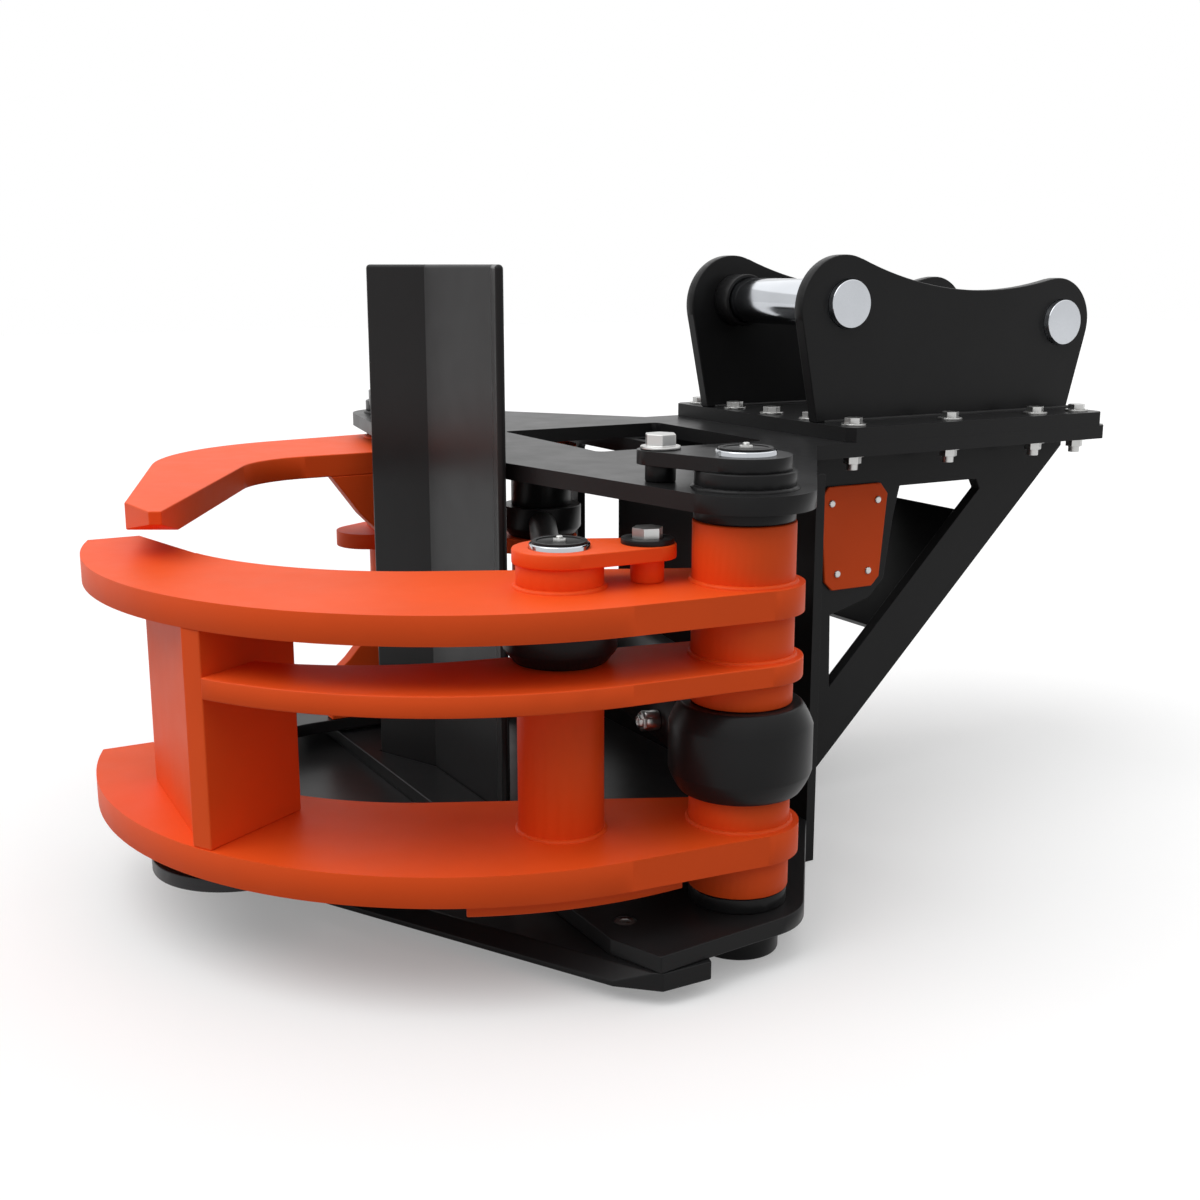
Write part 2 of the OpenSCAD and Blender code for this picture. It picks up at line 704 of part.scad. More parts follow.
// Far arm: a deep hook on the same kind of lobe, with a lever behind its pivot.
lever_r = 42;
far_pivot = [-pivot_x, pivot_y];
lever = [lever_x, lever_y];
far_c = [-180, -320];
far_mouth = [-138, -365];
far_tip_a = [5, -613];
far_tip_b = [69, -607];
far_tip_c = [73, -597];
far_edge_x = far_mouth[0] - far_mouth_r;
far_strap_a = atan2(far_pivot[1] - far_c[1], far_pivot[0] - far_c[0])
  + acos((far_outer_r - arm_lobe_r) / norm(far_pivot - far_c));
far_toe_a = tangent_a(far_tip_a, far_c, far_outer_r, -1);
module far_arm_face() {
  toe = tangent_p(far_tip_a, far_c, far_outer_r, -1);
  gum = tangent_p(far_tip_c, far_mouth, far_mouth_r, -1);
  difference() {
    union() {
      translate(far_pivot) circle(r = arm_lobe_r);
      polygon([far_pivot, on_circle(far_pivot, arm_lobe_r, far_strap_a),
        on_circle(far_c, far_outer_r, far_strap_a), far_c, [far_edge_x, lever_y]]);
      intersection() {
        translate(far_c) circle(r = far_outer_r, $fn = 200);
        polygon([far_c, on_circle(far_c, 400, far_strap_a), on_circle(far_c, 560, 222),
          on_circle(far_c, 420, far_toe_a)]);
      }
      polygon([far_c, toe, far_tip_a, far_tip_b, far_tip_c, gum, far_mouth]);
    }
    polygon([[far_edge_x, 0], [far_edge_x, far_mouth[1]], far_mouth, gum, far_tip_c,
      [400, far_tip_c[1]], [400, 0]]);
    translate(far_mouth) circle(r = far_mouth_r);
  }
}

module lever_face() {
  strap(far_pivot, arm_lobe_r - 1, lever, lever_r);
}

module far_holes(z0, h) {
  translate([-pivot_x, pivot_y, z0 - 1]) cylinder(r = hole_r, h = h + 2);
  translate([lever_x, lever_y, z0 - 1]) cylinder(r = link_d / 2 + run_gap, h = h + 2);
}

far_tip_rise = 13.8;
module far_top_plate() color(orange) difference() {
  translate([0, 0, far_top_z]) linear_extrude(far_top_t) union() {
    far_arm_face();
    lever_face();
  }
  far_holes(far_top_z, far_top_t);
  translate([far_tip_a[0], far_tip_a[1], far_top_z]) rotate([0, 0, -29.7]) rotate([0, -far_tip_rise, 0])
    translate([0, -80, -40]) cube([140, 160, 40]);
}

module far_mid_plate() color(orange) difference() {
  translate([0, 0, mid_z]) linear_extrude(arm_mid_t) union() {
    lever_face();
    strap(far_pivot, arm_lobe_r - 1, [far_pivot[0] + 18, far_pivot[1] - 50], 42);
  }
  far_holes(mid_z, arm_mid_t);
}

module far_bottom_plate() color(black) difference() {
  translate([0, 0, far_bot_z]) linear_extrude(far_bot_t) union() {
    difference() {
      far_arm_face();
      polygon([[-55, -700], [200, -700], [200, -500], [-10, -500]]);
    }
    lever_face();
  }
  far_holes(far_bot_z, far_bot_t);
}

// Inner wall of the far arm, seen in the mouth.
module far_web() color(orange) difference() {
  translate([far_edge_x - web_t, 0, 0]) rotate([90, 0, 90]) linear_extrude(web_t) polygon([
    [-335, far_top_z], [-302, 300], [-265, 262], [-265, 200], [-302, 154], [-322, 132],
    [-345, 112], [-345, far_bot_top], [-135, far_bot_top], [-135, far_top_z]]);
  translate([0, 0, mid_z]) linear_extrude(arm_mid_t) lever_face();
}

module far_bosses() color(orange) translate([-pivot_x, pivot_y, 0]) {
  ring(boss_r, hole_r, far_top_top, bush_z - far_top_top);
  ring(boss_r, hole_r, mid_top, far_top_z - mid_top);
  ring(boss_r, hole_r, far_bot_top, mid_z - far_bot_top);
}

cyl_rod_h = 46;
module far_pin_tube() color(orange) translate([lever_x, lever_y, 0]) {
  ring(link_tube_r, link_d / 2 + run_gap, far_bot_top, cyl_z - cyl_rod_h / 2 - face_gap - far_bot_top);
  ring(link_tube_r, link_d / 2 + run_gap, cyl_z + cyl_rod_h / 2 + face_gap, mid_z - cyl_z - cyl_rod_h / 2 - face_gap);
}

far_heel = [-190, -505];
far_point = [125, -560];
far_heel_r = 45;
far_point_r = 74;
module far_knife() color([0.13, 0.13, 0.14]) difference() {
  along = atan2(far_point[1] - far_heel[1], far_point[0] - far_heel[0]);
  half = acos((far_heel_r - far_point_r) / norm(far_point - far_heel));
  edge = on_circle(far_heel, far_heel_r, along + half);
  translate([0, 0, far_knife_z]) linear_extrude(knife_t - face_gap)
    strap(far_heel, far_heel_r, far_point, far_point_r);
  translate([edge[0], edge[1], far_knife_z]) rotate([0, 0, along + half - 90]) rotate([30, 0, 0])
    translate([40, -30, -40]) cube([240, 60, 40]);
}

module far_lever_pin() color(chrome) translate([lever_x, lever_y, far_bot_z])
  cylinder(r = link_d / 2, h = far_top_top + 5 - far_bot_z);

module far_keeper() color(orange) translate([lever_x, lever_y, far_top_top]) rotate([0, 0, 216])
  linear_extrude(5) teardrop(33, 18, 58, link_d / 2 + run_gap, 4);

// Timing link between the near arm and the far arm's lever.
module link_frame() {
  translate([lever_x, lever_y, 0]) rotate([0, 0, link_ang]) children();
}

module link_bar() color(black) link_frame() difference() {
  translate([link_eye_r - 6, 0, eye_z]) rotate([0, 90, 0]) cylinder(r = link_bar_d / 2, h = link_len - 2 * link_eye_r + 12);
  translate([0, 0, eye_z - 40]) cylinder(r = link_eye_r, h = 80);
  translate([link_len, 0, eye_z - 40]) cylinder(r = link_eye_r, h = 80);
}

module link_eye(bore) {
  difference() {
    union() {
      translate([0, 0, eye_z - eye_h / 2]) cylinder(r1 = link_eye_r - 9, r2 = link_eye_r, h = 11);
      translate([0, 0, eye_z - eye_h / 2 + 11]) cylinder(r = link_eye_r, h = eye_h - 11);
    }
    translate([0, 0, eye_z - eye_h]) cylinder(r = bore, h = 2 * eye_h);
  }
}

module link_eye_near() color(black) link_frame() translate([link_len, 0, 0]) link_eye(link_d / 2 + open_gap);
module link_eye_far() color(black) link_frame() link_eye(link_d / 2 + run_gap);
module link_spacer() color(black) link_frame() ring(link_tube_r, link_d / 2 + run_gap, eye_z + eye_h / 2, far_top_z - face_gap - eye_z - eye_h / 2);

// Hydraulic cylinder from the near pivot to the far arm's lever.
module cyl_frame() {
  translate([pivot_x, pivot_y, cyl_z]) rotate([0, 0, cyl_ang]) children();
}

barrel_end = cyl_len * 0.72;
module cylinder_barrel() color(black) cyl_frame() difference() {
  translate([ball_r - 12, 0, 0]) rotate([0, 90, 0]) cylinder(r = barrel_d / 2, h = barrel_end - ball_r + 12);
  translate([ball_r + 10, 0, 0]) rotate([0, 90, 0]) cylinder(r = barrel_d / 2 - 9, h = barrel_end);
  translate([0, 0, -100]) cylinder(r = ball_r, h = 200);
}

module cylinder_base_eye() color(black) cyl_frame() difference() {
  intersection() {
    sphere(r = ball_r + 3);
    translate([0, 0, -cyl_eye_h / 2]) cylinder(r = ball_r, h = cyl_eye_h);
  }
  translate([0, 0, -100]) cylinder(r = hole_r, h = 200);
}

module cylinder_gland() color(black) cyl_frame() translate([barrel_end, 0, 0]) rotate([0, 90, 0]) difference() {
  cylinder(r = barrel_d / 2 + 3, h = 24);
  translate([0, 0, -1]) cylinder(r = rod_d / 2 + run_gap, h = 26);
}

module cylinder_ports() color(zinc) cyl_frame() {
  for (x = [ball_r + 24, barrel_end - 26]) {
    translate([x, 0, 0]) rotate([90, 0, 0]) translate([0, 0, -barrel_d / 2 - 14]) cylinder(r = 9, h = 14);
  }
}

rod_start = barrel_end - 60;
rod_eye_r = 42;
module cylinder_rod() color(chrome) cyl_frame() difference() {
  union() {
    translate([rod_start, 0, 0]) rotate([0, 90, 0]) cylinder(r = rod_d / 2, h = cyl_len - rod_eye_r + 8 - rod_start);
    translate([rod_start, 0, 0]) rotate([0, 90, 0]) cylinder(r = barrel_d / 2 - 9.05, h = 30);
  }
  translate([cyl_len, 0, -60]) cylinder(r = rod_eye_r, h = 120);
}

module cylinder_rod_eye() color(black) cyl_frame() translate([cyl_len, 0, 0]) difference() {
  translate([0, 0, -cyl_rod_h / 2]) cylinder(r = rod_eye_r, h = cyl_rod_h);
  translate([0, 0, -60]) cylinder(r = link_d / 2 + open_gap, h = 120);
}

top_plate();
bottom_plate();
skid_plate();
back_plate();
gusset_right();
gusset_left();
brace_plate();
tree_rest();
top_collars();
foot_collars();
top_bushes();
foot_bushes();
hitch_flange();
ear_right();
ear_left();
hitch_pin_front();
hitch_pin_rear();
ear_bosses();
flange_bolts();
flange_nuts();
pivot_pin_right();
pivot_pin_left();
pivot_keepers();
keeper_spacers();
keeper_bolts();
crest_plate();
crest_rivets();
foot_bolts();
heel_plate();
near_top_plate();
near_mid_plate();
near_bottom_plate();
near_web_outer();
near_web_tip();
near_bosses();
near_pin_tube();
near_knife();
near_knife_pad();
near_link_pin();
near_keeper();
near_keeper_bolt();
far_top_plate();
far_mid_plate();
far_bottom_plate();
far_web();
far_bosses();
far_pin_tube();
far_knife();
far_lever_pin();
far_keeper();
link_bar();
link_eye_near();
link_eye_far();
link_spacer();
cylinder_barrel();
cylinder_base_eye();
cylinder_gland();
cylinder_ports();
cylinder_rod();
cylinder_rod_eye();
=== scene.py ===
"""Looks of the excavator tree shear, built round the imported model."""

import json
import logging
import math
from collections.abc import Callable
from dataclasses import dataclass, field
from enum import Enum

import bpy
from mathutils import Matrix, Vector

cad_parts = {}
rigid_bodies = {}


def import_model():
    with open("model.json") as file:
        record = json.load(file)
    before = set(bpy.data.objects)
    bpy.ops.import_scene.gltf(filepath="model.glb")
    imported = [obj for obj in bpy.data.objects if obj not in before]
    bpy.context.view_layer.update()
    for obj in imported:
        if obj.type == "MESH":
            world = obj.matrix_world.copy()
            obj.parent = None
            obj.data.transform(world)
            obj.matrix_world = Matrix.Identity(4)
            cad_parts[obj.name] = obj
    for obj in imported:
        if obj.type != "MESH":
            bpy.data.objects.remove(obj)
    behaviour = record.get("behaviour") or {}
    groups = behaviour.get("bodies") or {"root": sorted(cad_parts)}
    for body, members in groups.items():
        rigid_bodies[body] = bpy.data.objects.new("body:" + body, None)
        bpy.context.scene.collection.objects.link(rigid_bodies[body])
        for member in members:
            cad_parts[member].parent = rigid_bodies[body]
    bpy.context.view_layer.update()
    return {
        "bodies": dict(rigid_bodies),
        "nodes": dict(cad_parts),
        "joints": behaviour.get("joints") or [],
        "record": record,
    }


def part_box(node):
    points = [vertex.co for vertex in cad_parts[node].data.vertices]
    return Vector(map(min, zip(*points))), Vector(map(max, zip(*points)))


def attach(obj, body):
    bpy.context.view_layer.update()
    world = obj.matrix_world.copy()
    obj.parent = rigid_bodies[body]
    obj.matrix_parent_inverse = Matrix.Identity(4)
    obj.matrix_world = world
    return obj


WHITE = (1.0, 1.0, 1.0, 1.0)

# Metres in a millimetre
MM = 0.001
# A face looks along a direction when its normal's share of it is above this
FACING = 0.9
# Edges sharper than this are rounded
SHARP = math.radians(28)
# Edges flatter than this are shaded smooth
SMOOTH = math.radians(35)

log = logging.getLogger("tree_shear")


class Finish(Enum):
    """Finishes of the tree shear, named as the record's material slots."""

    ORANGE = "orange_paint"
    BLACK = "black_paint"
    CHROME = "chrome"
    ZINC = "zinc"
    KNIFE = "knife_steel"


@dataclass(frozen=True)
class PaintFinish:
    """Sprayed satin paint with slight colour drift and an orange-peel skin.

    Args:
        name: Material name.
        colour: Linear base colour.
        roughness: Mean roughness of the film.
        peel: Height of the orange-peel bump.
        drift: How far the colour drifts between patches.
        shine: Level of the film's mirror-like part.
        patches: Patches of colour per metre.
        pores: Bumps of the skin per metre.
        smears: Patches of handling marks per metre.
        uneven: Change of roughness at the glossiest and the dullest smears.
        skin: Height of the skin's full bump.
    """

    name: str
    colour: tuple[float, float, float]
    roughness: float
    peel: float
    drift: float
    shine: float = 0.3
    patches: float = 9.0
    pores: float = 700.0
    smears: float = 34.0
    uneven: tuple[float, float] = (-0.05, 0.07)
    skin: float = 0.4 * MM

    def build(self) -> bpy.types.Material:
        """Makes the paint material.

        Returns:
            The new material.
        """
        maker = NodeMaker(self.name)
        cloud = maker.noise(scale=self.patches, detail=3.0)
        colour = maker.ramp(cloud, [
            (0.35, tuple(c * (1.0 - self.drift) for c in self.colour)),
            (0.65, tuple(min(1.0, c * (1.0 + self.drift)) for c in self.colour)),
        ])
        skin = maker.noise(scale=self.pores, detail=2.0)
        grime = maker.noise(scale=self.smears, detail=5.0)
        rough = maker.spread(grime, *(self.roughness + change for change in self.uneven))
        maker.link(colour, "Base Color")
        maker.link(rough, "Roughness")
        maker.bump(skin, strength=self.peel, distance=self.skin)
        maker.set("Specular IOR Level", self.shine)
        return maker.material


@dataclass(frozen=True)
class MetalFinish:
    """Bare or plated metal with fine turning or rolling marks.

    Args:
        name: Material name.
        colour: Linear base colour.
        roughness: Mean roughness.
        grain: Height of the fine marks.
        stretch: How much the marks are drawn out along the part.
        marks: Fine marks per metre.
        patches: Patches of colour per metre.
        dull: Share of the colour left in the darkest patches.
        uneven: Change of roughness at the glossiest and the dullest marks.
        skin: Height of the marks' full bump.
    """

    name: str
    colour: tuple[float, float, float]
    roughness: float
    grain: float
    stretch: tuple[float, float, float]
    marks: float = 260.0
    patches: float = 22.0
    dull: float = 0.93
    uneven: tuple[float, float] = (-0.04, 0.06)
    skin: float = 0.2 * MM

    def build(self) -> bpy.types.Material:
        """Makes the metal material.

        Returns:
            The new material.
        """
        maker = NodeMaker(self.name)
        lines = maker.noise(scale=self.marks, detail=4.0, stretch=self.stretch)
        cloud = maker.noise(scale=self.patches, detail=3.0)
        colour = maker.ramp(cloud, [
            (0.3, tuple(c * self.dull for c in self.colour)),
            (0.7, self.colour),
        ])
        rough = maker.spread(lines, *(self.roughness + change for change in self.uneven))
        maker.link(colour, "Base Color")
        maker.link(rough, "Roughness")
        maker.bump(lines, strength=self.grain, distance=self.skin)
        maker.set("Metallic", 1.0)
        return maker.material


class NodeMaker:
    """Small helper that adds nodes round one Principled shader."""

    def __init__(self, name: str) -> None:
        """Starts a material.

        Args:
            name: Material name.
        """
        self.material = bpy.data.materials.new(name)
        self.material.use_nodes = True
        self.tree = self.material.node_tree
        self.shader = next(n for n in self.tree.nodes if n.type == "BSDF_PRINCIPLED")
        self.coords = self.tree.nodes.new("ShaderNodeTexCoord")

    def noise(self, scale: float, detail: float,
              stretch: tuple[float, float, float] = (1.0, 1.0, 1.0)) -> bpy.types.NodeSocket:
        """Adds a noise pattern on Object coordinates.

        Args:
            scale: Pattern scale per metre.
            detail: Octaves.
            stretch: Scale along each axis.

        Returns:
            The noise value socket.
        """
        place = self.tree.nodes.new("ShaderNodeMapping")
        place.inputs["Scale"].default_value = stretch
        self.tree.links.new(self.coords.outputs["Object"], place.inputs["Vector"])
        pattern = self.tree.nodes.new("ShaderNodeTexNoise")
        pattern.inputs["Scale"].default_value = scale
        pattern.inputs["Detail"].default_value = detail
        self.tree.links.new(place.outputs["Vector"], pattern.inputs["Vector"])
        return pattern.outputs[0]

    def ramp(self, value: bpy.types.NodeSocket,
             stops: list[tuple[float, tuple[float, float, float]]]) -> bpy.types.NodeSocket:
        """Adds a colour ramp.

        Args:
            value: Socket that drives the ramp.
            stops: Place and colour of each stop.

        Returns:
            The colour socket.
        """
        node = self.tree.nodes.new("ShaderNodeValToRGB")
        for element, (place, colour) in zip(node.color_ramp.elements, stops):
            element.position = place
            element.color = (*colour, 1.0)
        self.tree.links.new(value, node.inputs["Fac"])
        return node.outputs["Color"]

    def spread(self, value: bpy.types.NodeSocket, low: float, high: float) -> bpy.types.NodeSocket:
        """Maps a pattern value to a range.

        Args:
            value: Socket with the pattern.
            low: Result at 0.
            high: Result at 1.

        Returns:
            The mapped socket.
        """
        node = self.tree.nodes.new("ShaderNodeMapRange")
        node.inputs["To Min"].default_value = low
        node.inputs["To Max"].default_value = high
        self.tree.links.new(value, node.inputs["Value"])
        return node.outputs["Result"]

    def bump(self, value: bpy.types.NodeSocket, strength: float, distance: float) -> None:
        """Adds a bump from a pattern.

        Args:
            value: Height socket.
            strength: Bump strength.
            distance: Bump height in metres.
        """
        node = self.tree.nodes.new("ShaderNodeBump")
        node.inputs["Strength"].default_value = strength
        node.inputs["Distance"].default_value = distance
        self.tree.links.new(value, node.inputs["Height"])
        self.tree.links.new(node.outputs["Normal"], self.shader.inputs["Normal"])

    def link(self, socket: bpy.types.NodeSocket, name: str) -> None:
        """Links a socket to the shader's input of that name."""
        self.tree.links.new(socket, self.shader.inputs[name])

    def set(self, name: str, value: float) -> None:
        """Sets one of the shader's own values."""
        self.shader.inputs[name].default_value = value


FINISHES: dict[Finish, PaintFinish | MetalFinish] = {
    Finish.ORANGE: PaintFinish("orange_satin_paint", (0.87, 0.092, 0.011), 0.52, 0.12, 0.03, 0.20),
    Finish.BLACK: PaintFinish("black_satin_paint", (0.014, 0.014, 0.0145), 0.33, 0.10, 0.10, 0.13),
    Finish.CHROME: MetalFinish("chromed_pin", (0.53, 0.55, 0.58), 0.12, 0.05, (0.2, 1.0, 1.0)),
    Finish.ZINC: MetalFinish("zinc_plated_steel", (0.52, 0.52, 0.51), 0.32, 0.10, (1.0, 1.0, 1.0)),
    Finish.KNIFE: PaintFinish("knife_black", (0.016, 0.016, 0.018), 0.36, 0.10, 0.10),
}


@dataclass
class PaintShop:
    """Gives every CAD node its finish and eased edges."""

    edge: float = 1.3 * MM
    bend: float = 5.0 * MM
    bent: tuple[str, ...] = ("tree_rest",)
    merge: float = 0.02 * MM
    level: float = math.radians(0.6)
    materials: dict[str, bpy.types.Material] = field(default_factory=dict)

    def mix(self) -> None:
        """Makes one material for each finish."""
        for finish, recipe in FINISHES.items():
            self.materials[finish.value] = recipe.build()

    def dress(self, frame: dict) -> None:
        """Dresses the CAD nodes by the record's material slots.
        """
        slots = {part["node"]: part["material_slot"] for part in frame["record"]["subparts"]}
        for name, obj in frame["nodes"].items():
            obj.data.materials.clear()
            obj.data.materials.append(self.materials[slots[name]])
            self.ease(obj)
            log.info("%s dressed in %s", name, slots[name])

    def ease(self, obj: bpy.types.Object) -> None:
        """Rounds a node's sharp edges slightly, and those of bent plate more.

        Args:
            obj: CAD node.
        """
        is_bent = obj.name in self.bent
        weld = obj.modifiers.new("weld", "WELD")
        weld.merge_threshold = self.merge
        flat = obj.modifiers.new("flat", "DECIMATE")
        flat.decimate_type = "DISSOLVE"
        flat.angle_limit = self.level
        bevel = obj.modifiers.new("edge", "BEVEL")
        bevel.width = self.bend if is_bent else self.edge
        bevel.segments = 4 if is_bent else 2
        bevel.limit_method = "ANGLE"
        bevel.angle_limit = SHARP
        bevel.use_clamp_overlap = True
        bevel.harden_normals = True


@dataclass(frozen=True)
class SunLamp:
    """One broad sun lamp of the studio.

    Args:
        name: Name of the lamp.
        place: Side of the object that the light comes from.
        spread: Angle of the lamp in the sky, in degrees.
        level: Brightness at which white paint that faces the lamp shows.
    """

    name: str
    place: tuple[float, float, float]
    spread: float
    level: float


@dataclass
class Studio:
    """Floor, lights and camera."""

    focal_px: float = 1514.13
    photo_px: float = 1200.0
    sensor: float = 36.0
    clip: tuple[float, float] = (0.01, 60.0)
    eye: tuple[float, float, float] = (1.3776, -0.9009, 0.5770)
    pitch_deg: float = 12.5
    heading_deg: float = 60.55
    floor_side: float = 24.0
    floor_drop: float = 0.5 * MM
    floor_rough: float = 0.9
    floor_seen: float = 0.74
    floor_thrown: float = 0.18
    floor_glow: float = 0.26
    sky: float = 0.40
    lamps: tuple[SunLamp, ...] = (
        SunLamp("key", (-0.2, -2.0, 3.4), 50.0, 0.34),
        SunLamp("top", (-0.4, 0.2, 4.0), 120.0, 0.42),
    )

    def camera(self) -> None:
        """Adds the camera at the photograph's place."""
        data = bpy.data.cameras.new("photo_camera")
        data.sensor_width = self.sensor
        data.lens = self.focal_px / self.photo_px * data.sensor_width
        data.clip_start, data.clip_end = self.clip
        cam = bpy.data.objects.new("photo_camera", data)
        bpy.context.scene.collection.objects.link(cam)
        pitch = math.radians(self.pitch_deg)
        heading = math.radians(self.heading_deg)
        level = math.cos(pitch)
        look = Vector((-math.sin(heading) * level, math.cos(heading) * level, -math.sin(pitch)))
        cam.location = self.eye
        cam.rotation_euler = look.to_track_quat("-Z", "Y").to_euler()
        bpy.context.scene.camera = cam

    def floor(self) -> None:
        """Adds the pale floor, which throws less light on the object than it shows."""
        bpy.ops.object.select_all(action="DESELECT")
        bpy.ops.mesh.primitive_plane_add(size=self.floor_side, location=(0.0, 0.0, -self.floor_drop))
        plane = bpy.context.active_object
        plane.name = "studio_floor"
        material = bpy.data.materials.new("studio_floor")
        material.use_nodes = True
        tree = material.node_tree
        shader = next(n for n in tree.nodes if n.type == "BSDF_PRINCIPLED")
        tone = tree.nodes.new("ShaderNodeMapRange")
        tone.inputs["To Min"].default_value = self.floor_thrown
        tone.inputs["To Max"].default_value = self.floor_seen
        tree.links.new(self.looked_at(tree), tone.inputs["Value"])
        tree.links.new(tone.outputs["Result"], shader.inputs["Base Color"])
        shader.inputs["Roughness"].default_value = self.floor_rough
        shader.inputs["Emission Color"].default_value = WHITE
        glow = tree.nodes.new("ShaderNodeMath")
        glow.operation = "MULTIPLY"
        glow.inputs[1].default_value = self.floor_glow
        tree.links.new(self.looked_at(tree), glow.inputs[0])
        tree.links.new(glow.outputs[0], shader.inputs["Emission Strength"])
        plane.data.materials.append(material)

    def light(self) -> None:
        """Sets the soft sky and the sun lamps."""
        world = bpy.data.worlds.new("studio_sky")
        bpy.context.scene.world = world
        world.use_nodes = True
        tree = world.node_tree
        back = next(n for n in tree.nodes if n.type == "BACKGROUND")
        power = tree.nodes.new("ShaderNodeMapRange")
        power.inputs["To Min"].default_value = self.sky
        power.inputs["To Max"].default_value = 1.0
        tree.links.new(self.looked_at(tree), power.inputs["Value"])
        back.inputs["Color"].default_value = WHITE
        tree.links.new(power.outputs["Result"], back.inputs["Strength"])
        for sun in self.lamps:
            data = bpy.data.lights.new(sun.name, "SUN")
            data.angle = math.radians(sun.spread)
            data.energy = sun.level * math.pi
            lamp = bpy.data.objects.new(sun.name, data)
            lamp.location = sun.place
            lamp.rotation_euler = (-Vector(sun.place)).to_track_quat("-Z", "Y").to_euler()
            bpy.context.scene.collection.objects.link(lamp)

    @staticmethod
    def looked_at(tree: bpy.types.NodeTree) -> bpy.types.NodeSocket:
        """Adds nodes that say whether a ray shows the backdrop and doesn't light the object.

        Args:
            tree: Node tree of the floor's material or of the world.

        Returns:
            The socket, 1 for camera, mirror and glass rays.
        """
        path = tree.nodes.new("ShaderNodeLightPath")
        socket = path.outputs["Is Camera Ray"]
        for name in ("Is Glossy Ray", "Is Transmission Ray"):
            either = tree.nodes.new("ShaderNodeMath")
            either.operation = "MAXIMUM"
            tree.links.new(socket, either.inputs[0])
            tree.links.new(path.outputs[name], either.inputs[1])
            socket = either.outputs[0]
        return socket


